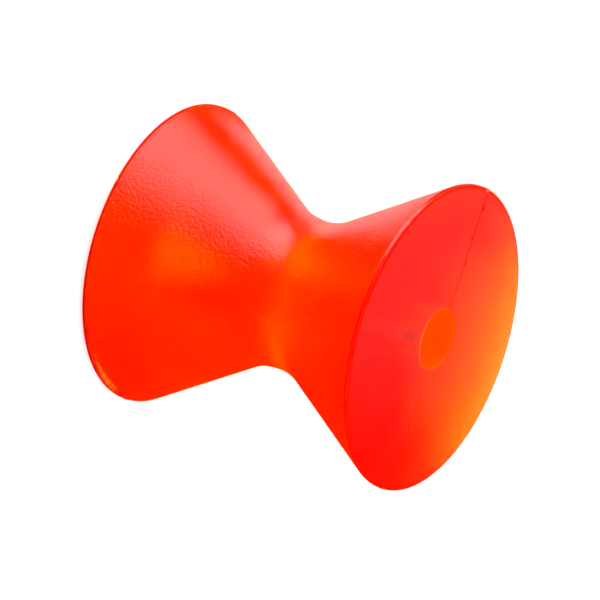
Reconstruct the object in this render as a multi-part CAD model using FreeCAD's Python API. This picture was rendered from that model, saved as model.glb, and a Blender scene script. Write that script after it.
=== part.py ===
import FreeCAD, Part
import math
import os

# Boat trailer bow roller, moulded in one piece in translucent polyurethane.
# It stands on one end: the origin is the centre of the lower end, +Z runs along the bore.
# Two cones narrow to a round neck, where the boat's stem or keel sits.
# The mould halves meet in the plane through the bore and the X axis.

# Body
roller_width = 76.2
rim_diameter = 74.0
neck_diameter = 36.6
neck_arc_radius = 19.1
bore_diameter = 14.5
bore_edge_break = 0.35

# Ends: a flat thrust face round the bore, then a very shallow cone down to the rim
thrust_face_diameter = 30.0
end_relief = 0.7
edge_break_width = 0.7
edge_break_height = 0.2
rim_land = 0.8

# Parting flash, a fine bead along the mould joint on the lands, cones and neck
flash_thickness = 0.35
flash_height = 0.15

# Witness line, a fine groove across both ends in the plane of the flash
witness_width = 0.35
witness_depth = 0.15

# Nicks, small round pits along the witness line of the upper end
nick_distances = [32.4, 24.9, 18.9]
nick_width = 1.1
nick_floor_width = 0.4
nick_depth = 0.25

# Values that follow from the sizes above
half_width = roller_width / 2
rim_radius = rim_diameter / 2
neck_radius = neck_diameter / 2
bore_radius = bore_diameter / 2
thrust_face_radius = thrust_face_diameter / 2
face_edge_radius = rim_radius - edge_break_width
relief_run = face_edge_radius - thrust_face_radius
land_outer = half_width - end_relief - edge_break_height
land_inner = land_outer - rim_land

axis_start = FreeCAD.Vector(0, 0, 0)
axis_direction = FreeCAD.Vector(0, 0, 1)


def point(radius, height):
    """A point of the section, with its height counted from the middle of the neck."""
    return FreeCAD.Vector(radius, 0, half_width + height)


def line(start, end):
    return Part.LineSegment(start, end).toShape()


def section_face(edges):
    """The flat face inside a closed ring of edges, given in any order."""
    return Part.Face(Part.Wire(Part.__sortEdges__(edges)))


def end_height(radius):
    """Height of the upper end's surface over the middle of the neck."""
    run = max(radius - thrust_face_radius, 0)
    return half_width - end_relief * run / relief_run


def side_edges(proud):
    """Land, cone, neck, cone and land, standing proud of the finished surface.

    Each cone leaves the corner of its land and runs tangent into the neck's arc.
    """
    arc_centre = neck_radius + neck_arc_radius
    arc_radius = neck_arc_radius - proud
    corner_radius = rim_radius + proud
    corner_distance = math.hypot(corner_radius - arc_centre, land_inner)
    corner_direction = math.atan2(land_inner, corner_radius - arc_centre)
    tangent_direction = corner_direction + math.acos(arc_radius / corner_distance)
    tangent_radius = arc_centre + arc_radius * math.cos(tangent_direction)
    tangent_height = arc_radius * math.sin(tangent_direction)
    upper_tangent = point(tangent_radius, tangent_height)
    lower_tangent = point(tangent_radius, -tangent_height)
    narrowest = point(arc_centre - arc_radius, 0)
    upper_corner = point(corner_radius, land_inner)
    lower_corner = point(corner_radius, -land_inner)
    return [
        line(point(corner_radius, land_outer), upper_corner),
        line(upper_corner, upper_tangent),
        Part.Arc(upper_tangent, narrowest, lower_tangent).toShape(),
        line(lower_tangent, lower_corner),
        line(lower_corner, point(corner_radius, -land_outer)),
    ]


def face_edges(side, sunk):
    """Thrust face and relieved face, sunk below the finished end.

    side is 1 for the upper end and -1 for the lower end.
    """
    inner = point(bore_radius + bore_edge_break, side * (half_width - sunk))
    bend = point(thrust_face_radius, side * (half_width - sunk))
    outer = point(face_edge_radius, side * (end_height(face_edge_radius) - sunk))
    return [line(inner, bend), line(bend, outer)]


def make_body():
    """The section turned about the bore's axis."""
    ring = side_edges(0)
    bore_wall_height = half_width - bore_edge_break
    ring.append(line(point(bore_radius, bore_wall_height), point(bore_radius, -bore_wall_height)))
    for side in (1, -1):
        mouth = point(bore_radius, side * bore_wall_height)
        face_start = point(bore_radius + bore_edge_break, side * half_width)
        face_end = point(face_edge_radius, side * end_height(face_edge_radius))
        ring.append(line(mouth, face_start))
        ring.extend(face_edges(side, 0))
        ring.append(line(face_end, point(rim_radius, side * land_outer)))
    return section_face(ring).revolve(axis_start, axis_direction, 360)


def parting_plate(ring, thickness, turn):
    """A thin plate made from a section, centred on the parting plane and turned about the bore."""
    plate = section_face(ring).extrude(FreeCAD.Vector(0, thickness, 0))
    plate.translate(FreeCAD.Vector(0, -thickness / 2, 0))
    plate.rotate(axis_start, axis_direction, turn)
    return plate


def make_flash(turn):
    """A plate rooted in the body between bore and neck, whose outer edge is the bead."""
    root_radius = (bore_radius + neck_radius) / 2
    bead_radius = rim_radius + flash_height
    ring = side_edges(flash_height)
    ring.append(line(point(bead_radius, land_outer), point(root_radius, land_outer)))
    ring.append(line(point(root_radius, land_outer), point(root_radius, -land_outer)))
    ring.append(line(point(root_radius, -land_outer), point(bead_radius, -land_outer)))
    return parting_plate(ring, flash_thickness, turn)


def make_witness_groove(side, turn):
    """The space between a sunk copy of one end's surface and the height of its thrust face."""
    inner_floor = side * (half_width - witness_depth)
    outer_floor = side * (end_height(face_edge_radius) - witness_depth)
    inner_radius = bore_radius + bore_edge_break
    bead_radius = rim_radius + flash_height
    ring = face_edges(side, witness_depth)
    ring.append(line(point(face_edge_radius, outer_floor), point(bead_radius, outer_floor)))
    ring.append(line(point(bead_radius, outer_floor), point(bead_radius, side * half_width)))
    ring.append(line(point(bead_radius, side * half_width), point(bore_radius, side * half_width)))
    ring.append(line(point(bore_radius, side * half_width), point(bore_radius, inner_floor)))
    ring.append(line(point(bore_radius, inner_floor), point(inner_radius, inner_floor)))
    return parting_plate(ring, witness_width, turn)


def make_nick(distance):
    """A pit with sloping walls on the -X arm of the witness line, cut from above the surface."""
    floor_radius = nick_floor_width / 2
    wall_run = nick_width / 2 - floor_radius
    floor = point(-distance, end_height(distance) - nick_depth)
    pit = Part.makeCone(floor_radius, floor_radius + 2 * wall_run, 2 * nick_depth, floor, axis_direction)
    pit.rotate(floor, axis_direction, 90)
    return pit


def make_roller():
    turns = (0, 180)
    flash = [make_flash(turn) for turn in turns]
    grooves = [make_witness_groove(side, turn) for side in (1, -1) for turn in turns]
    nicks = [make_nick(distance) for distance in nick_distances]
    return make_body().fuse(flash).cut(grooves + nicks).removeSplitter()


os.makedirs("parts", exist_ok=True)
roller = make_roller()
roller.exportStep("parts/roller.step")
print("solids", len(roller.Solids), "faces", len(roller.Faces), "valid", roller.isValid())
print("volume in cubic millimetres", round(roller.Volume, 1))
print("box", roller.BoundBox)
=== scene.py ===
import math

import bmesh
import bpy
from mathutils import Matrix, Vector


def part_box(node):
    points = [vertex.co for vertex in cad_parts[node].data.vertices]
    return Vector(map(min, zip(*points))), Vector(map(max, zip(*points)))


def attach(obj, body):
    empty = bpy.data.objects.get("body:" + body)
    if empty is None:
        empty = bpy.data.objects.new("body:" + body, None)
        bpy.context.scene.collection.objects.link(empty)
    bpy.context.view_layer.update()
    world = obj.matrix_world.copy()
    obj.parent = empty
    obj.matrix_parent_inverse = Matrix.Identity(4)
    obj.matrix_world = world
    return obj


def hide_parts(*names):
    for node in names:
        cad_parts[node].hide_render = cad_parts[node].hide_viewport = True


# A boat trailer bow roller, moulded in one piece in translucent red polyurethane.
# It stands on its lower end with the bore upright. The mould halves meet in the plane through
# the bore and the X axis. Lengths are in metres, and MM turns millimetres into them.

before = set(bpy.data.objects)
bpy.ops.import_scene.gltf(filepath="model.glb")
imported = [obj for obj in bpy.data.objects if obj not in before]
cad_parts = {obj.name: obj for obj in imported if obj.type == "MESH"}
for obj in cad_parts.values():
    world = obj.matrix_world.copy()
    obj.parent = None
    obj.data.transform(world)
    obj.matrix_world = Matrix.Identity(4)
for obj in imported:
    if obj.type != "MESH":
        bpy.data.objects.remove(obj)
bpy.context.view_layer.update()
roller_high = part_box("roller")[1]

MM = 0.001

# Sizes that the frame gives
roller_width = roller_high.z
rim_radius = roller_high.y
flash_height = roller_high.x - rim_radius
mid_height = roller_width / 2

# Section of the moulding
bore_radius = 7.25 * MM
bore_edge_break = 0.35 * MM
neck_radius = 18.3 * MM
neck_arc_radius = 19.1 * MM
thrust_face_radius = 15 * MM
end_relief = 0.7 * MM
edge_break_width = 0.7 * MM
edge_break_height = 0.2 * MM
rim_land = 0.8 * MM
face_edge_radius = rim_radius - edge_break_width
land_outer = mid_height - end_relief - edge_break_height
land_inner = land_outer - rim_land

# The upper face sits a little off centre, so that its edge break is widest at -X
face_edge_shift = 0.25 * MM

# Rounding of the section's corners
land_rounding = 0.12 * MM
face_edge_rounding = 0.12 * MM
bore_rounding = 0.1 * MM
relief_rounding = 2.5 * MM

# Length of the rows of faces along the section
upper_end_row = 0.36 * MM
lower_end_row = 1.2 * MM
cone_row = 0.8 * MM
bore_row = 7 * MM
neck_rows = 32

# Columns of faces round the axis: narrow ones near the mould joint, wide ones between
joint_zone = math.radians(6)
joint_columns = 80
open_columns = 84

# Mould joint: its bead on the sides, and how far its arms lie from the X axis towards +Y. The near
# arm is the one at -X: it leans on the sides, and on the ends it nears the X axis at the rim. One
# share of the bead's height is even, and the other changes along it in two waves.
flash_half_width = 0.2 * MM
flash_even_share = 0.7
flash_wave_share = 0.3
flash_waves = (1.7 * MM, 0.9 * MM)
near_flash_turn = math.radians(4)
near_joint_offset = 0.3 * MM
far_joint_offset = 1.2 * MM

# Witness line across the ends, where the mould halves met
witness_half_width = 0.24 * MM
witness_depth = 0.14 * MM
witness_depth_at_axis = 0.45

# Nicks along the near arm of the witness line: place, half length and half width
nicks = [
    (Vector((-32.3, 0.5)) * MM, 0.6 * MM, 0.5 * MM),
    (Vector((-24.85, -0.35)) * MM, 0.4 * MM, 0.7 * MM),
    (Vector((-18.8, 0.4)) * MM, 0.45 * MM, 0.4 * MM),
]
nick_depth = 0.25 * MM

# Chips, pits and lumps of the moulded sides: height, turn from -X towards +Y in degrees, half
# length along the bore, half width, and depth, which is under zero for a lump
side_marks = [
    (1.1 * MM, -73.3, 0.7 * MM, 0.7 * MM, 0.22 * MM),
    (8.3 * MM, -54.8, 0.4 * MM, 0.35 * MM, 0.09 * MM),
    (14 * MM, -68.5, 0.5 * MM, 0.3 * MM, 0.08 * MM),
    (6.4 * MM, -12.9, 0.55 * MM, 0.25 * MM, 0.08 * MM),
    (18.2 * MM, -8.3, 0.3 * MM, 0.3 * MM, 0.07 * MM),
    (14.5 * MM, 1, 0.35 * MM, 0.3 * MM, 0.09 * MM),
    (74.75 * MM, -58, 0.3 * MM, 0.3 * MM, 0.12 * MM),
    (74.4 * MM, -54.5, 0.5 * MM, 0.6 * MM, -0.05 * MM),
    (74.4 * MM, -77.8, 0.4 * MM, 0.5 * MM, -0.05 * MM),
]
rim_chips = [
    (1.9 * MM, -160.5, 0.35 * MM, 0.4 * MM, 0.14 * MM),
    (1.7 * MM, -165.6, 0.35 * MM, 0.35 * MM, 0.14 * MM),
]

# Finer faces round each mark: how far they reach, the cuts in an edge, and how long the edges are
# that are cut
mark_reach = 1.6 * MM
mark_cuts = 3
coarse_edge = 0.45 * MM

# Camera, in the photograph's place
camera_aim = Vector((1.3, 0.2, 37.9)) * MM
camera_distance = 1.04
camera_azimuth = math.radians(3.52)
camera_elevation = math.radians(29.63)
camera_roll = math.radians(108.2)
lens = 264
sensor = 36

# Polyurethane: its index of refraction, what a millimetre of it takes of red, green and blue, what
# its surface passes of them, how far it scatters them, and how rough it is for light that passes
refraction_index = 1.5
taken_per_mm = (0.0005, 0.068, 0.6)
passed_colour = (1, 1, 0.3, 1)
scattering_radius = (1, 0.3, 0.04)
scattering_scale = 25 * MM
inner_roughness = 0.33

# Colours of what scatters at the surface
side_colour = (1, 0.022, 0.0002, 1)
# painted shade: the ends and the rim scatter a darker, redder copy of the side colour
shaded_end_colour = (1, 0.001, 0, 1)
# painted shade in the witness line and the nicks, and the edge break's painted dark reflection
joint_shade_colour = (0.2, 0.002, 0, 1)
# painted shadow of the bore inside the casting
bore_shadow_colour = (0.1, 0.008, 0.003, 1)
# painted highlight on the bore's upper mouth
lip_highlight_colour = (1, 0.02, 0.012, 1)
streak_colour = (1, 0.35, 0.03, 1)

# Skin gloss: its roughness on the sides and the ends, what a scuff adds to that, and its share face
# on and at a grazing angle
side_gloss_roughness = 0.15
end_gloss_roughness = 0.23
scuff_roughness = 0.1
gloss_face_on = 0.013
gloss_grazing = 0.035

# Relief of the skin, in the unit below. On the sides the peel fades towards -X, and on the upper
# end it is strongest in one pebbled patch.
relief_unit = 0.1 * MM
coarse_peel = 3.8
fine_peel = 0.1
faded_peel = 0.55
end_peel = 0.2
pebbled_peel = 0.35
pebbled_middle = Vector((17 * MM, -0.5 * MM, roller_width))
pebbled_radius = 5 * MM
pebbled_reach = 11 * MM
turning_relief = 0.25
speck_relief = 0.4
speck_share = 0.03
scratch_half_width = 0.3 * MM
scratch_relief = 0.5

# Scratches on the upper end: start, course, and 1 where it is cut in or -1 where it stands proud
scratches = [
    (Vector((28.7, -9.5, 75.65)) * MM, Vector((7.4, 9.6, -0.15)) * MM, -1),
    (Vector((-13, 29.3, 75.6)) * MM, Vector((3.7, 4.3, -0.15)) * MM, 1),
]

# How much light passes straight through the surface, and what is lost of that on some parts. Two
# sectors of the upper end lose more: 1 is the one between +X and -Y, and -1 the one between -X
# and -Y.
least_clear = 0.71
most_clear = 0.78
clear_inside = 0.85
end_side_loss = 0.8
upper_end_loss = 0.58
bore_loss = 0.6
rim_loss = 0.8
sector_losses = {1: 0.85, -1: 0.4}

# Over what length the material changes from one part of the roller to the next
part_blur = 0.1 * MM

# Streak of light inside the lower rim: its height, its half width at its start and what it gains,
# and the turns in degrees from -X towards +Y at which it starts, is widest, fades and has faded
streak_height = 2.6 * MM
streak_half_width = 0.15 * MM
streak_gain = 0.6 * MM
streak_turns = (-141, -163, -167, -171)
streak_strength = 0.9

# Band of painted shadow on the upper end, the bore's shadow inside the casting, broken into strokes: how
# far its middle lies towards +X and leans that way, how far from the middle it is full and has faded,
# its strength near the bore and near the rim, and the length that a radian round the bore counts for in
# the strokes
band_offset = 1.2 * MM
band_lean = 0.055
band_core = 0.5 * MM
band_edge = 3.2 * MM
band_inner_strength = 0.9
band_outer_strength = 0.3
stroke_stretch = 0.8 * MM

# Strength of the painted highlight, a pale lip, on the bore's upper mouth
lip_highlight_strength = 0.6

# Studio panels that light the body, and those that only the gloss mirrors: azimuth from -Y towards
# +X and elevation in degrees, distance, width, height and radiance
body_panels = {
    "key": (-66, 12, 0.5, 0.7, 0.3, 11),
    "top": (-60, 80, 0.6, 0.5, 0.5, 3),
    "fill": (100, 35, 0.6, 0.6, 0.4, 4),
    "back": (180, 50, 0.6, 0.6, 0.5, 3.5),
    "front": (20, 5, 0.5, 0.6, 0.3, 4),
}
gloss_panels = {
    "key gloss": (-68.5, 15, 0.5, 0.74, 0.34, 7.2),
    "key gloss core": (-75, 14, 0.5, 0.42, 0.36, 5.5),
    "back gloss": (192.5, 32, 0.5, 0.19, 0.25, 2),
}

# Reflectors on the floor: shape, place, turn in degrees, length, width and radiance
reflectors = {
    "neck gloss": ("ELLIPSE", Vector((-0.155, -0.072)), 0, 0.206, 0.136, 24),
    "neck gloss core": ("ELLIPSE", Vector((-0.19, -0.095)), 26.6, 0.22, 0.13, 3),
    "silhouette gloss": ("RECTANGLE", Vector((-0.0785, 0.0919)), 128.5, 0.17, 0.07, 10.5),
}

# Floor and world
floor_radius = 12
floor_drop = 0.05 * MM
floor_paint = 0.35
floor_glow = 0.6
flag_radius = 2
world_strength = 0.25


def heading(azimuth, elevation):
    """Unit vector towards an azimuth, counted from -Y towards +X, and an elevation."""
    level = math.cos(elevation)
    return Vector((level * math.sin(azimuth), -level * math.cos(azimuth), math.sin(elevation)))


def make_camera():
    data = bpy.data.cameras.new("camera")
    data.lens = lens
    data.sensor_width = sensor
    camera = bpy.data.objects.new("camera", data)
    bpy.context.scene.collection.objects.link(camera)
    back = heading(camera_azimuth, camera_elevation)
    level_right = Vector((math.cos(camera_azimuth), math.sin(camera_azimuth), 0))
    level_up = back.cross(level_right)
    right = level_right * math.cos(camera_roll) + level_up * math.sin(camera_roll)
    up = level_up * math.cos(camera_roll) - level_right * math.sin(camera_roll)
    turn = Matrix((right, up, back)).transposed().to_4x4()
    camera.matrix_world = Matrix.Translation(camera_aim + back * camera_distance) @ turn
    bpy.context.scene.camera = camera


# Shape


def new_object(name, bm, material):
    mesh = bpy.data.meshes.new(name)
    bm.to_mesh(mesh)
    bm.free()
    mesh.materials.append(material)
    made = bpy.data.objects.new(name, mesh)
    bpy.context.scene.collection.objects.link(made)
    return made


def join_up(bm, corners):
    """Edges from corner to corner."""
    for start, end in zip(corners, corners[1:]):
        bm.edges.new((start, end))


def round_corner(bm, corner, size, segments):
    bmesh.ops.bevel(
        bm, geom=[corner], offset=size, offset_type="OFFSET", affect="VERTICES",
        segments=segments, profile=0.5, material=-1,
    )


def end_corners(bm, side):
    """Corners of one end of the section, from the bore out to the land's inner corner."""
    places = [
        (bore_radius, mid_height - bore_edge_break),
        (bore_radius + bore_edge_break, mid_height),
        (thrust_face_radius, mid_height),
        (face_edge_radius, mid_height - end_relief),
        (rim_radius, land_outer),
        (rim_radius, land_inner),
    ]
    return [bm.verts.new((radius, 0, mid_height + side * height)) for radius, height in places]


def row_length(edge):
    """How long the rows may be on one stretch of the section."""
    middle = (edge.verts[0].co + edge.verts[1].co) / 2
    if middle.x < bore_radius + bore_edge_break:
        return bore_row
    if middle.z > mid_height + land_outer:
        return upper_end_row
    if middle.z < mid_height - land_outer:
        return lower_end_row
    return cone_row


def make_section(bm):
    """The closed line of the section in the XZ plane.

    Each cone leaves its land's inner corner and runs tangent into the neck's arc.
    """
    upper = end_corners(bm, 1)
    lower = end_corners(bm, -1)
    arc_centre = neck_radius + neck_arc_radius
    corner_distance = math.hypot(rim_radius - arc_centre, land_inner)
    corner_direction = math.atan2(land_inner, rim_radius - arc_centre)
    tangent_direction = corner_direction + math.acos(neck_arc_radius / corner_distance)
    tangent_radius = arc_centre + neck_arc_radius * math.cos(tangent_direction)
    tangent_height = neck_arc_radius * math.sin(tangent_direction)
    neck_start = bm.verts.new((tangent_radius, 0, mid_height + tangent_height))
    arc = bmesh.ops.spin(
        bm, geom=[neck_start], cent=(arc_centre, 0, mid_height), axis=(0, 1, 0), dvec=(0, 0, 0),
        angle=2 * (tangent_direction - math.pi), steps=neck_rows,
    )
    neck_end = [item for item in arc["geom_last"] if isinstance(item, bmesh.types.BMVert)][0]
    join_up(bm, upper + [neck_start])
    join_up(bm, lower + [neck_end])
    join_up(bm, [upper[0], lower[0]])
    for corners in (upper, lower):
        round_corner(bm, corners[5], land_rounding, 2)
        round_corner(bm, corners[4], land_rounding, 3)
        round_corner(bm, corners[3], face_edge_rounding, 2)
        round_corner(bm, corners[2], relief_rounding, 6)
        round_corner(bm, corners[1], bore_rounding, 2)
        round_corner(bm, corners[0], bore_rounding, 2)
    for edge in list(bm.edges):
        cuts = math.ceil(edge.calc_length() / row_length(edge)) - 1
        if cuts > 0:
            bmesh.ops.subdivide_edges(bm, edges=[edge], cuts=cuts)


def turn_section(bm):
    """The section turned half a turn, and that half once more on the other side."""
    ring = bm.verts[:] + bm.edges[:]
    bmesh.ops.rotate(bm, verts=bm.verts[:], matrix=Matrix.Rotation(-joint_zone, 3, "Z"))
    for angle, steps in ((2 * joint_zone, joint_columns), (math.pi - 2 * joint_zone, open_columns)):
        turned = bmesh.ops.spin(
            bm, geom=ring, axis=(0, 0, 1), dvec=(0, 0, 0), angle=-angle, steps=steps,
        )
        ring = turned["geom_last"]
    other = bmesh.ops.duplicate(bm, geom=bm.verts[:] + bm.edges[:] + bm.faces[:])
    points = [item for item in other["geom"] if isinstance(item, bmesh.types.BMVert)]
    bmesh.ops.rotate(bm, verts=points, matrix=Matrix.Rotation(math.pi, 3, "Z"))
    bmesh.ops.remove_doubles(bm, verts=bm.verts[:], dist=MM / 1000)
    bmesh.ops.recalc_face_normals(bm, faces=bm.faces[:])


def hump(distance, half_width):
    """1 in the middle of a mark, easing down to 0 at its edge."""
    share = min(abs(distance) / half_width, 1)
    return (1 - share * share) ** 2


def shift_face_edge(bm):
    """Moves the edge of the upper face off centre, and neither the rim nor the thrust face."""
    for vertex in bm.verts:
        if vertex.co.z < mid_height + land_outer:
            continue
        radius = vertex.co.xy.length
        inner = (radius - thrust_face_radius) / (face_edge_radius - thrust_face_radius)
        outer = (rim_radius - radius) / edge_break_width
        vertex.co.x += face_edge_shift * max(min(inner, outer), 0)


def raise_flash(bm):
    """A fine, uneven bead along the mould joint on the lands, cones and neck."""
    for vertex in bm.verts:
        spot = vertex.co
        radius = spot.xy.length
        if radius < neck_radius - MM / 10 or abs(spot.z - mid_height) > land_outer:
            continue
        if spot.x < 0:
            turn = near_flash_turn * (1 - spot.z / roller_width)
            distance = radius * (math.atan2(spot.y, -spot.x) - turn)
        else:
            distance = spot.y - far_joint_offset
        waves = math.prod(math.sin(spot.z / wave) for wave in flash_waves)
        uneven = flash_even_share + flash_wave_share * waves
        spot.xy *= 1 + flash_height * uneven * hump(distance, flash_half_width) / radius


def cut_witness(bm):
    """A fine groove across both ends, deeper towards the rim."""
    for vertex in bm.verts:
        spot = vertex.co
        radius = spot.xy.length
        height = spot.z - mid_height
        if radius < bore_radius + bore_edge_break or abs(height) < land_outer:
            continue
        outward = radius / rim_radius
        middle = far_joint_offset
        if spot.x < 0:
            middle = near_joint_offset * (1 - outward)
        depth = witness_depth * (witness_depth_at_axis + (1 - witness_depth_at_axis) * outward)
        spot.z -= math.copysign(depth * hump(spot.y - middle, witness_half_width), height)


def cut_nicks(bm):
    for place, half_length, half_width in nicks:
        for vertex in bm.verts:
            if vertex.co.z < mid_height + land_outer:
                continue
            away = vertex.co.xy - place
            distance = math.hypot(away.x / half_length, away.y / half_width)
            vertex.co.z -= nick_depth * hump(distance, 1)


def facing_out(turn):
    """Level unit vector at a turn in degrees from -X towards +Y."""
    return Vector((-math.cos(math.radians(turn)), math.sin(math.radians(turn)), 0))


def press_marks(bm):
    """The chips, pits and lumps of the sides, with finer faces round each."""
    for height, turn, half_length, half_width, depth in side_marks + rim_chips:
        outward = facing_out(turn)
        along = outward.cross(Vector((0, 0, 1)))
        level = [vertex for vertex in bm.verts if abs(vertex.co.z - height) < cone_row]
        middle = max(level, key=lambda vertex: vertex.co.dot(outward)).co.copy()
        middle.z = height
        near = {vertex for vertex in bm.verts if (vertex.co - middle).length < mark_reach}
        edges = [edge for edge in bm.edges if edge.verts[0] in near and edge.verts[1] in near]
        coarse = [edge for edge in edges if edge.calc_length() > coarse_edge]
        bmesh.ops.subdivide_edges(bm, edges=coarse, cuts=mark_cuts, use_grid_fill=True)
        for vertex in bm.verts:
            away = vertex.co - middle
            if away.length < mark_reach:
                distance = math.hypot(away.z / half_length, away.dot(along) / half_width)
                vertex.co -= outward * depth * hump(distance, 1)


def make_roller(material):
    bm = bmesh.new()
    make_section(bm)
    turn_section(bm)
    shift_face_edge(bm)
    raise_flash(bm)
    cut_witness(bm)
    cut_nicks(bm)
    press_marks(bm)
    for face in bm.faces:
        face.smooth = True
    piece = new_object("moulded_roller", bm, material)
    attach(piece, "root")
    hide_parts("roller")
    return piece


# Nodes


def add(tree, kind, inputs=None, **settings):
    """A node, with its settings and with values or links for its inputs."""
    made = tree.nodes.new(kind)
    for name, value in settings.items():
        setattr(made, name, value)
    for name, value in (inputs or {}).items():
        if isinstance(value, bpy.types.NodeSocket):
            tree.links.new(value, made.inputs[name])
        else:
            made.inputs[name].default_value = value
    return made


def maths(tree, operation, *values):
    return add(tree, "ShaderNodeMath", dict(enumerate(values)), operation=operation).outputs[0]


def vector_maths(tree, operation, *values):
    made = add(tree, "ShaderNodeVectorMath", dict(enumerate(values)), operation=operation)
    return made.outputs["Value" if operation in ("LENGTH", "DOT_PRODUCT") else "Vector"]


def ease(tree, value, start, end, low=0, high=1):
    """Eases from low to high as a value goes from start to end."""
    inputs = {"Value": value, "From Min": start, "From Max": end, "To Min": low, "To Max": high}
    return add(tree, "ShaderNodeMapRange", inputs, interpolation_type="SMOOTHSTEP").outputs["Result"]


def product(tree, first, *others):
    for other in others:
        first = maths(tree, "MULTIPLY", first, other)
    return first


def rest_of(tree, share):
    return maths(tree, "SUBTRACT", 1, share)


def distance_between(tree, first, second):
    return vector_maths(tree, "LENGTH", vector_maths(tree, "SUBTRACT", first, second))


def blend(tree, share, first, second):
    """A colour between two."""
    inputs = {"Factor": share, 6: first, 7: second}
    return add(tree, "ShaderNodeMix", inputs, data_type="RGBA").outputs[2]


def noise(tree, vector, scale, detail=2, **settings):
    inputs = {"Vector": vector, "Scale": scale, "Detail": detail}
    return add(tree, "ShaderNodeTexNoise", inputs, **settings).outputs["Fac"]


def start_group(name, inputs, outputs):
    """An empty node group, with its tree, its inputs and its output node."""
    tree = bpy.data.node_groups.new(name, "ShaderNodeTree")
    for in_out, sockets in (("INPUT", inputs), ("OUTPUT", outputs)):
        for socket, kind in sockets.items():
            tree.interface.new_socket(name=socket, in_out=in_out, socket_type="NodeSocket" + kind)
    given = add(tree, "NodeGroupInput").outputs
    result = add(tree, "NodeGroupOutput")
    return tree, given, result


def finish_group(tree, result, values):
    for name, value in values.items():
        tree.links.new(value, result.inputs[name])
    return tree


def use(tree, group, inputs):
    return add(tree, "ShaderNodeGroup", inputs, node_tree=group).outputs


def peel_group():
    """Orange peel, the pebbled skin that the mould leaves: coarse cells in patches, over fine ones."""
    tree, given, result = start_group(
        "orange peel", {"Place": "Vector", "Coarse": "Float", "Fine": "Float"}, {"Height": "Float"},
    )
    patch = ease(tree, noise(tree, given["Place"], 75), 0.35, 0.65, 0.6, 1)
    coarse = product(tree, noise(tree, given["Place"], 1100), given["Coarse"], patch)
    fine = product(tree, noise(tree, given["Place"], 3200, 1), given["Fine"])
    return finish_group(tree, result, {"Height": maths(tree, "ADD", coarse, fine)})


def turning_group():
    """Faint rings about the bore, broken along their length."""
    tree, given, result = start_group(
        "turning marks", {"Place": "Vector", "Radius": "Float", "Amount": "Float"}, {"Height": "Float"},
    )
    axes = add(tree, "ShaderNodeSeparateXYZ", {0: given["Place"]}).outputs
    turn = maths(tree, "ARCTAN2", axes["Y"], axes["X"])
    along = maths(tree, "MULTIPLY", turn, 2 * MM)
    ring = add(tree, "ShaderNodeCombineXYZ", {"X": given["Radius"], "Y": along}).outputs[0]
    lines = noise(tree, ring, 1500, 3)
    fade = ease(tree, given["Radius"], 10 * MM, 31 * MM, 1, 0)
    height = product(tree, lines, fade, given["Amount"])
    return finish_group(tree, result, {"Height": height})


def scratch_group():
    """A straight scratch from its start along its length."""
    tree, given, result = start_group(
        "scratch",
        {"Place": "Vector", "Start": "Vector", "Length": "Vector", "Half Width": "Float"},
        {"Mask": "Float"},
    )
    away = vector_maths(tree, "SUBTRACT", given["Place"], given["Start"])
    reach = vector_maths(tree, "DOT_PRODUCT", away, given["Length"])
    whole = vector_maths(tree, "DOT_PRODUCT", given["Length"], given["Length"])
    share = add(
        tree, "ShaderNodeMath", {0: reach, 1: whole}, operation="DIVIDE", use_clamp=True,
    ).outputs[0]
    nearest = add(
        tree, "ShaderNodeVectorMath", {0: given["Length"], "Scale": share}, operation="SCALE",
    ).outputs[0]
    outward = maths(tree, "DIVIDE", distance_between(tree, away, nearest), given["Half Width"])
    return finish_group(tree, result, {"Mask": ease(tree, outward, 0, 1, 1, 0)})


def specks_group():
    """Sparse small pits, such as dust and bubbles leave in a moulded skin."""
    tree, given, result = start_group("specks", {"Place": "Vector", "Share": "Float"}, {"Mask": "Float"})
    cells = add(tree, "ShaderNodeTexVoronoi", {"Vector": given["Place"], "Scale": 260})
    pit = ease(tree, cells.outputs["Distance"], 0.02, 0.09, 1, 0)
    pick = add(tree, "ShaderNodeSeparateColor", {0: cells.outputs["Color"]}).outputs[0]
    chosen = maths(tree, "LESS_THAN", pick, given["Share"])
    return finish_group(tree, result, {"Mask": product(tree, pit, chosen)})


def scuffs_group():
    """Hairline scuffs of handling, in short strokes that lie in two directions."""
    tree, given, result = start_group("scuffs", {"Place": "Vector"}, {"Mask": "Float"})
    strokes = []
    for turn, scale in (((0.5, 0.3, 0.9), (2600, 2600, 120)), ((-0.4, 0.8, -0.5), (2200, 100, 2200))):
        turned = add(
            tree, "ShaderNodeMapping", {"Vector": given["Place"], "Rotation": turn, "Scale": scale},
        ).outputs[0]
        strokes.append(ease(tree, noise(tree, turned, 1, 1), 0.66, 0.74))
    patch = ease(tree, noise(tree, given["Place"], 60), 0.45, 0.65)
    mask = product(tree, maths(tree, "MAXIMUM", *strokes), patch)
    return finish_group(tree, result, {"Mask": mask})


# Finish


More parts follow.
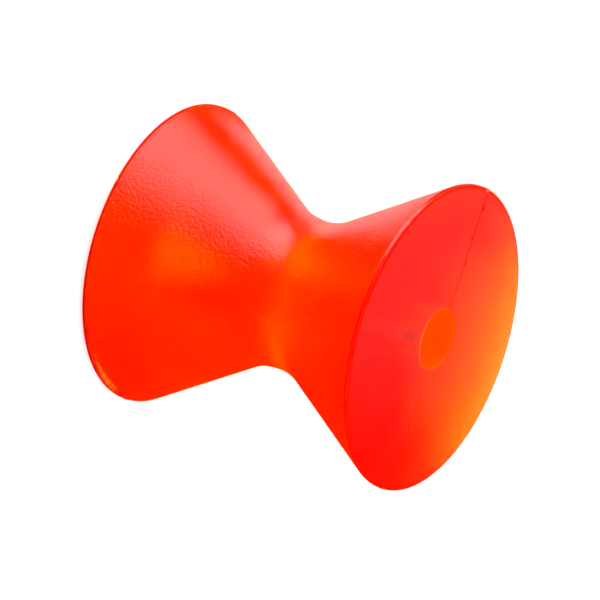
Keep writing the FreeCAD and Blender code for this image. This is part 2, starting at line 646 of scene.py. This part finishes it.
def read_place(tree):
    """Where a point of the roller is, and which part of the roller it is on."""
    place = add(tree, "ShaderNodeTexCoord").outputs["Object"]
    axes = add(tree, "ShaderNodeSeparateXYZ", {0: place}).outputs
    level = add(tree, "ShaderNodeCombineXYZ", {"X": axes["X"], "Y": axes["Y"]}).outputs[0]
    radius = vector_maths(tree, "LENGTH", level)
    height = maths(tree, "SUBTRACT", axes["Z"], mid_height)
    outside = ease(tree, radius, bore_radius + part_blur, bore_radius + bore_edge_break)
    upper = product(tree, ease(tree, height, land_outer, land_outer + part_blur), outside)
    lower = product(tree, ease(tree, height, -land_outer, -land_outer - part_blur), outside)
    rim = ease(tree, maths(tree, "ABSOLUTE", height), land_inner, land_inner + 2 * part_blur)
    return {
        "place": place, "x": axes["X"], "y": axes["Y"], "height": height, "radius": radius,
        "across": maths(tree, "DIVIDE", axes["X"], radius),
        "along": maths(tree, "DIVIDE", axes["Y"], radius),
        "upper": upper, "lower": lower, "end": maths(tree, "ADD", upper, lower),
        "bore": rest_of(tree, outside),
        "rim": product(tree, rim, ease(tree, radius, face_edge_radius, rim_radius)),
    }


def skin_bump(tree, at):
    """The normal of the skin, with peel, turning marks, specks and scratches."""
    place = at["place"]
    side = ease(tree, at["across"], -0.85, -0.35, faded_peel, 1)
    side = product(tree, side, rest_of(tree, at["end"]))
    pebbled = distance_between(tree, place, pebbled_middle)
    pebbled = ease(tree, pebbled, pebbled_radius, pebbled_reach, pebbled_peel, end_peel)
    amount = maths(tree, "ADD", side, product(tree, pebbled, at["end"]))
    peel = use(tree, peel_group(), {"Place": place, "Coarse": coarse_peel, "Fine": fine_peel})
    skin = product(tree, peel["Height"], amount)
    rings = {"Place": place, "Radius": at["radius"], "Amount": turning_relief}
    rings = use(tree, turning_group(), rings)["Height"]
    skin = maths(tree, "ADD", skin, product(tree, rings, at["end"]))
    specks = use(tree, specks_group(), {"Place": place, "Share": speck_share})["Mask"]
    skin = maths(tree, "SUBTRACT", skin, product(tree, specks, speck_relief))
    scratch = scratch_group()
    for start, length, sign in scratches:
        course = {"Place": place, "Start": start, "Length": length, "Half Width": scratch_half_width}
        mask = use(tree, scratch, course)["Mask"]
        skin = maths(tree, "SUBTRACT", skin, product(tree, mask, sign * scratch_relief))
    return add(tree, "ShaderNodeBump", {"Height": skin, "Distance": relief_unit}).outputs["Normal"]


def witness_line_shade(tree, at, middle, core, edge, most):
    """Painted shade along one arm of the witness line, to both sides of its middle."""
    off_middle = maths(tree, "ABSOLUTE", maths(tree, "SUBTRACT", at["y"], middle))
    return ease(tree, off_middle, core, edge, most, 0)


def painted_joint_shade(tree, at):
    """Painted shade on the upper end: in its witness line, in the nicks and along the edge break, where
    it stands for the edge break's dark reflection.

    The line is dark at -X and faint at +X, and the edge break is darkest between -X and -Y.
    """
    near_middle = maths(
        tree, "MULTIPLY_ADD", at["radius"], -near_joint_offset / rim_radius, near_joint_offset,
    )
    near = witness_line_shade(tree, at, near_middle, core=0.12 * MM, edge=0.4 * MM, most=1)
    near = product(tree, near, maths(tree, "LESS_THAN", at["x"], 0))
    near = product(tree, near, ease(tree, at["radius"], 8 * MM, 30 * MM, 0.55, 1))
    far = witness_line_shade(tree, at, far_joint_offset, core=0.1 * MM, edge=0.3 * MM, most=0.35)
    far = product(tree, far, maths(tree, "GREATER_THAN", at["x"], 14 * MM))
    far = product(tree, far, ease(tree, at["radius"], 28 * MM, 32 * MM, 1, 0))
    joint_shade = maths(tree, "MAXIMUM", near, far)
    for place, half_length, _ in nicks:
        middle = Vector((*place, roller_width - MM / 3))
        distance = distance_between(tree, at["place"], middle)
        spot = ease(tree, distance, half_length * 0.7, half_length * 1.6, 0.95, 0)
        joint_shade = maths(tree, "MAXIMUM", joint_shade, spot)
    # painted dark reflection along the edge break, darkest between -X and -Y
    turned = maths(tree, "ADD", at["across"], at["along"])
    edge = ease(tree, at["radius"], face_edge_radius - 0.3 * MM, face_edge_radius)
    edge = product(tree, edge, ease(tree, turned, -0.9, 0.3, 0.75, 0))
    return product(tree, maths(tree, "MAXIMUM", joint_shade, edge), at["upper"])


def rim_streak(tree, at):
    """A streak of light inside the lower rim, which widens towards +X behind the two chips."""
    start, widest, fading, faded = (math.radians(turn) for turn in streak_turns)
    turn = maths(tree, "ARCTAN2", at["y"], maths(tree, "MULTIPLY", at["x"], -1))
    grown = ease(tree, turn, start, widest)
    left = ease(tree, turn, faded, fading)
    half_width = maths(tree, "MULTIPLY_ADD", grown, streak_gain, streak_half_width)
    off_middle = maths(tree, "ADD", at["height"], mid_height - streak_height)
    off_middle = maths(tree, "ABSOLUTE", off_middle)
    streak = ease(tree, maths(tree, "DIVIDE", off_middle, half_width), 0.4, 1.2, streak_strength, 0)
    streak = product(tree, streak, maths(tree, "POWER", grown, 0.4), left)
    for height, chip_turn, half_length, _, depth in rim_chips:
        middle = facing_out(chip_turn) * (rim_radius - depth) + Vector((0, 0, height))
        distance = distance_between(tree, at["place"], middle)
        streak = product(tree, streak, ease(tree, distance, half_length, half_length * 1.5))
    return streak


def painted_bore_shadow(tree, at):
    """A painted shadow on the upper end, the bore's shadow inside the casting, in a band from the bore
    towards -Y, where it fades.

    The strokes run round the bore.
    """
    off_middle = maths(tree, "MULTIPLY_ADD", at["y"], band_lean, at["x"])
    off_middle = maths(tree, "ABSOLUTE", maths(tree, "SUBTRACT", off_middle, band_offset))
    band = ease(tree, off_middle, band_core, band_edge, 1, 0)
    band = product(tree, band, maths(tree, "LESS_THAN", at["y"], 0))
    strength = ease(
        tree, at["radius"], 10 * MM, 33 * MM, band_inner_strength, band_outer_strength,
    )
    band = product(tree, band, strength)
    stretched = product(tree, maths(tree, "ARCTAN2", at["y"], at["x"]), stroke_stretch)
    course = add(tree, "ShaderNodeCombineXYZ", {"X": at["radius"], "Y": stretched}).outputs[0]
    strokes = ease(tree, noise(tree, course, 1900, 1), 0.3, 0.7, 0.88, 1)
    return product(tree, band, strokes, at["upper"])


def painted_lip_highlight(tree, at):
    """A painted highlight: a pale line round the -Y half of the bore's upper mouth."""
    inner = ease(tree, at["radius"], bore_radius + 0.3 * MM, bore_radius + 0.5 * MM)
    outer = ease(tree, at["radius"], bore_radius + 0.7 * MM, bore_radius + MM, lip_highlight_strength, 0)
    return product(tree, inner, outer, at["upper"], maths(tree, "LESS_THAN", at["y"], 0))


def left_after(tree, part, loss):
    """1 away from a part, and less by the loss on it."""
    return rest_of(tree, product(tree, part, loss))


def clearness(tree, at, inside):
    """How much of the surface lets light straight through.

    From outside, the upper end lets less light through away from the Y axis, most of all between +X and
    -Y: painted shade on those parts.
    From inside, the surface is clearer than that, except on the lower end away from the Y axis.
    """
    outward = ease(tree, at["radius"], 9 * MM, 30 * MM)
    clear_side = maths(tree, "POWER", maths(tree, "ABSOLUTE", at["along"]), 1.6)
    side_loss = maths(tree, "MULTIPLY_ADD", clear_side, -end_side_loss, end_side_loss)
    side_loss = product(tree, side_loss, outward)
    seen = left_after(tree, at["upper"], side_loss)
    for sign, most in sector_losses.items():
        sector = maths(tree, "SUBTRACT", product(tree, at["across"], sign), at["along"])
        sector_loss = product(tree, ease(tree, sector, 1, 1.33, 0, most), outward)
        seen = product(tree, seen, left_after(tree, at["upper"], sector_loss))
    for part, loss in (("upper", upper_end_loss), ("bore", bore_loss), ("rim", rim_loss)):
        seen = product(tree, seen, left_after(tree, at[part], loss))
    cloud = ease(tree, noise(tree, at["place"], 45), 0.3, 0.7, least_clear, most_clear)
    seen = product(tree, seen, cloud)
    left = product(tree, left_after(tree, at["lower"], side_loss), clear_inside)
    return maths(tree, "MULTIPLY_ADD", inside, maths(tree, "SUBTRACT", left, seen), seen)


def gloss_share(tree, normal):
    """How much the skin mirrors: little face on, and more at a grazing angle."""
    facing = add(tree, "ShaderNodeLayerWeight", {"Blend": 0.5, "Normal": normal}).outputs["Facing"]
    grazing = maths(tree, "POWER", facing, 3)
    return maths(tree, "MULTIPLY_ADD", grazing, gloss_grazing - gloss_face_on, gloss_face_on)


def gloss_roughness(tree, at):
    """Glossier sides than ends, and duller scuffs."""
    scuffs = use(tree, scuffs_group(), {"Place": at["place"]})["Mask"]
    duller = end_gloss_roughness - side_gloss_roughness
    unmarked = maths(tree, "MULTIPLY_ADD", at["end"], duller, side_gloss_roughness)
    return maths(tree, "MULTIPLY_ADD", scuffs, scuff_roughness, unmarked)


def scattered_colour(tree, at, strokes, joint_shade):
    """The colour of the light that the surface scatters, with painted shade, a painted shadow, a painted
    highlight and a painted streak of light blended in.
    """
    # the ends and the rim take the shaded end colour, painted shade
    red = maths(tree, "MAXIMUM", at["end"], at["rim"])
    colour = blend(tree, red, side_colour, shaded_end_colour)
    colour = blend(tree, rim_streak(tree, at), colour, streak_colour)
    colour = blend(tree, strokes, colour, bore_shadow_colour)
    colour = blend(tree, painted_lip_highlight(tree, at), colour, lip_highlight_colour)
    return blend(tree, joint_shade, colour, joint_shade_colour)


def make_polyurethane():
    """A clear casting that also scatters some light, under a glossy skin.

    Light enters through a rough skin, loses green and blue on its way, and leaves again.
    """
    material = bpy.data.materials.new("cast polyurethane")
    material.use_nodes = True
    tree = material.node_tree
    tree.nodes.clear()
    at = read_place(tree)
    normal = skin_bump(tree, at)
    # painted shade in the witness line, the nicks and along the edge break
    joint_shade = painted_joint_shade(tree, at)
    # the bore's painted shadow, in a band on the upper end, which also takes away clearness
    strokes = painted_bore_shadow(tree, at)
    scattering = add(tree, "ShaderNodeBsdfPrincipled", {
        "Base Color": scattered_colour(tree, at, strokes, joint_shade), "Normal": normal,
        "Specular IOR Level": 0, "IOR": refraction_index, "Subsurface Weight": 1,
        "Subsurface Radius": scattering_radius, "Subsurface Scale": scattering_scale,
    }).outputs[0]
    entering = add(tree, "ShaderNodeBsdfRefraction", {
        "Color": passed_colour, "Roughness": inner_roughness, "IOR": refraction_index, "Normal": normal,
    }).outputs[0]
    leaving = add(tree, "ShaderNodeBsdfPrincipled", {
        "Base Color": passed_colour, "Roughness": inner_roughness, "IOR": refraction_index,
        "Transmission Weight": 1,
    }).outputs[0]
    inside = add(tree, "ShaderNodeNewGeometry").outputs["Backfacing"]
    clear = add(tree, "ShaderNodeMixShader", {0: inside, 1: entering, 2: leaving}).outputs[0]
    # away from the painted shade, which also takes away clearness and gloss
    unmarked = rest_of(tree, joint_shade)
    share = product(tree, clearness(tree, at, inside), unmarked, rest_of(tree, strokes))
    body = add(tree, "ShaderNodeMixShader", {0: share, 1: scattering, 2: clear}).outputs[0]
    roughness = gloss_roughness(tree, at)
    gloss = add(tree, "ShaderNodeBsdfGlossy", {"Roughness": roughness, "Normal": normal}).outputs[0]
    mirrored = product(tree, gloss_share(tree, normal), unmarked)
    surface = add(tree, "ShaderNodeMixShader", {0: mirrored, 1: body, 2: gloss}).outputs[0]
    most = max(taken_per_mm)
    absorption = add(tree, "ShaderNodeVolumeAbsorption", {
        "Color": (*(1 - taken / most for taken in taken_per_mm), 1), "Density": most / MM,
    }).outputs[0]
    add(tree, "ShaderNodeOutputMaterial", {"Surface": surface, "Volume": absorption})
    return material


# Studio


def make_panel(name, place, facing, width, height, radiance, gloss=False, body=False):
    """A soft panel, which the gloss may mirror or which may light the body."""
    data = bpy.data.lights.new(name, "AREA")
    data.shape = "RECTANGLE"
    data.size = width
    data.size_y = height
    data.energy = radiance * math.pi * width * height
    light = bpy.data.objects.new(name, data)
    bpy.context.scene.collection.objects.link(light)
    light.location = place
    light.rotation_euler = (-facing).to_track_quat("Z", "Y").to_euler()
    light.visible_camera = False
    light.visible_glossy = gloss
    light.visible_diffuse = body
    light.visible_transmission = body
    return light


def stand_panel(name, azimuth, elevation, distance, width, height, radiance, **seen):
    """A panel that stands round the roller and faces its middle."""
    away = heading(math.radians(azimuth), math.radians(elevation))
    place = Vector((0, 0, mid_height)) + away * distance
    make_panel(name, place, -away, width, height, radiance, **seen)


def lay_reflector(name, shape, place, turn, length, width, radiance):
    """A reflector that lies on the floor beside the roller, which only the gloss mirrors."""
    up = Vector((0, 0, 1))
    light = make_panel(name, Vector((*place, MM)), up, length, width, radiance, gloss=True)
    light.rotation_euler = (math.pi, 0, math.radians(turn))
    light.data.shape = shape
    if shape == "ELLIPSE":
        light.data.energy *= math.pi / 4


def make_studio():
    for name, sizes in body_panels.items():
        stand_panel(name, *sizes, body=True)
    for name, sizes in gloss_panels.items():
        stand_panel(name, *sizes, gloss=True)
    for name, sizes in reflectors.items():
        lay_reflector(name, *sizes)


def make_floor():
    """A pale floor that shows white to the camera, in gloss and through the casting."""
    bm = bmesh.new()
    bmesh.ops.create_circle(bm, cap_ends=True, segments=64, radius=floor_radius)
    bmesh.ops.translate(bm, verts=bm.verts[:], vec=(0, 0, -floor_drop))
    material = bpy.data.materials.new("floor")
    material.use_nodes = True
    tree = material.node_tree
    tree.nodes.clear()
    path = add(tree, "ShaderNodeLightPath").outputs
    shown = maths(tree, "MAXIMUM", path["Is Camera Ray"], path["Is Glossy Ray"])
    shown = maths(tree, "MAXIMUM", shown, path["Is Transmission Ray"])
    paint = add(tree, "ShaderNodeBsdfDiffuse", {"Color": (floor_paint, floor_paint, floor_paint, 1)})
    strength = maths(tree, "MULTIPLY", shown, floor_glow)
    glow = add(tree, "ShaderNodeEmission", {"Strength": strength})
    both = add(tree, "ShaderNodeAddShader", {0: paint.outputs[0], 1: glow.outputs[0]})
    add(tree, "ShaderNodeOutputMaterial", {"Surface": both.outputs[0]})
    new_object("floor", bm, material)


def make_flag():
    """A black card on the floor, which only the gloss sees, so that it doesn't mirror the floor."""
    bm = bmesh.new()
    bmesh.ops.create_circle(bm, cap_ends=True, segments=64, radius=flag_radius)
    bmesh.ops.translate(bm, verts=bm.verts[:], vec=(0, 0, -floor_drop / 2))
    material = bpy.data.materials.new("black card")
    material.use_nodes = True
    shader = material.node_tree.nodes["Principled BSDF"]
    shader.inputs["Base Color"].default_value = (0, 0, 0, 1)
    shader.inputs["Specular IOR Level"].default_value = 0
    flag = new_object("black card", bm, material)
    flag.visible_camera = False
    flag.visible_diffuse = False
    flag.visible_transmission = False
    flag.visible_shadow = False


def make_world():
    world = bpy.data.worlds.new("studio")
    bpy.context.scene.world = world
    world.use_nodes = True
    background = world.node_tree.nodes["Background"]
    background.inputs["Color"].default_value = (1, 1, 1, 1)
    background.inputs["Strength"].default_value = world_strength
    world.cycles_visibility.glossy = False


make_camera()
make_roller(make_polyurethane())
make_floor()
make_flag()
make_world()
make_studio()
bpy.context.scene.view_settings.view_transform = "Standard"
